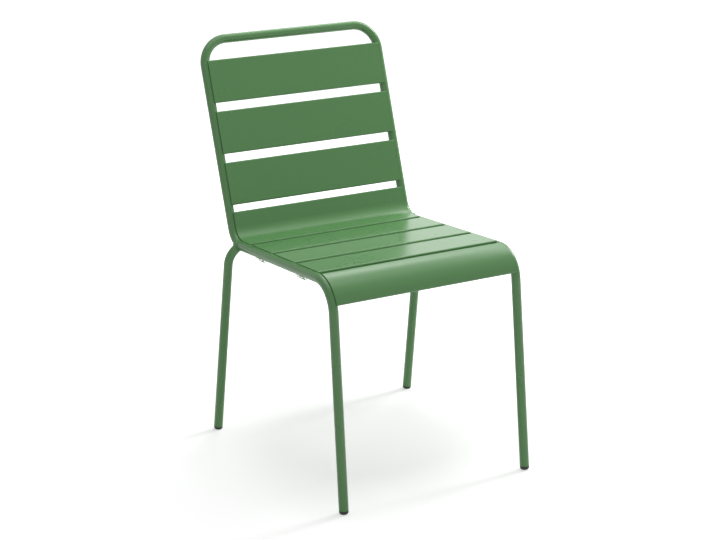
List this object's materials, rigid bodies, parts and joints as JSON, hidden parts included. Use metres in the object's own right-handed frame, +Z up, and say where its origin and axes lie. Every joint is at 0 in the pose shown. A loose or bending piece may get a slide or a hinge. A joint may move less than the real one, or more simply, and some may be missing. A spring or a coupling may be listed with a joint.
{
  "type": "metal side chair",
  "caption": "Stackable metal side chair: bent round tube frame, pressed sheet slats for seat and back, splayed rear legs, plastic foot caps.",
  "frame": {"origin": "on the floor, under the middle of the chair's outline in plan", "axes": "+Z up; -Y is where the chair faces and +Y is towards its back; +X is to the right of someone who looks at its front, and right in the node names means +X"},
  "size_m": [0.4912, 0.6193, 0.8388],
  "materials": {
    "green_paint": "satin leaf green powder coat on steel, with a very fine even texture",
    "black_plastic": "moulded black polyethylene, matt",
    "clear_plastic": "clear soft plastic, slightly frosted"
  },
  "bodies": {
    "root": {"main_frame": "green_paint", "rear_leg_left": "green_paint", "rear_leg_right": "green_paint", "rear_leg_weld_left": "green_paint", "rear_leg_weld_right": "green_paint", "back_slat_1": "green_paint", "back_slat_2": "green_paint", "back_slat_3": "green_paint", "curved_slat": "green_paint", "seat_slat_1": "green_paint", "seat_slat_2": "green_paint", "seat_slat_3": "green_paint", "front_slat": "green_paint", "foot_cap_front_left": "black_plastic", "foot_cap_front_right": "black_plastic", "foot_cap_rear_left": "black_plastic", "foot_cap_rear_right": "black_plastic", "stacking_pad_front_left": "clear_plastic", "stacking_pad_front_right": "clear_plastic", "stacking_pad_rear_left": "clear_plastic", "stacking_pad_rear_right": "clear_plastic"}
  },
  "joints": []
}
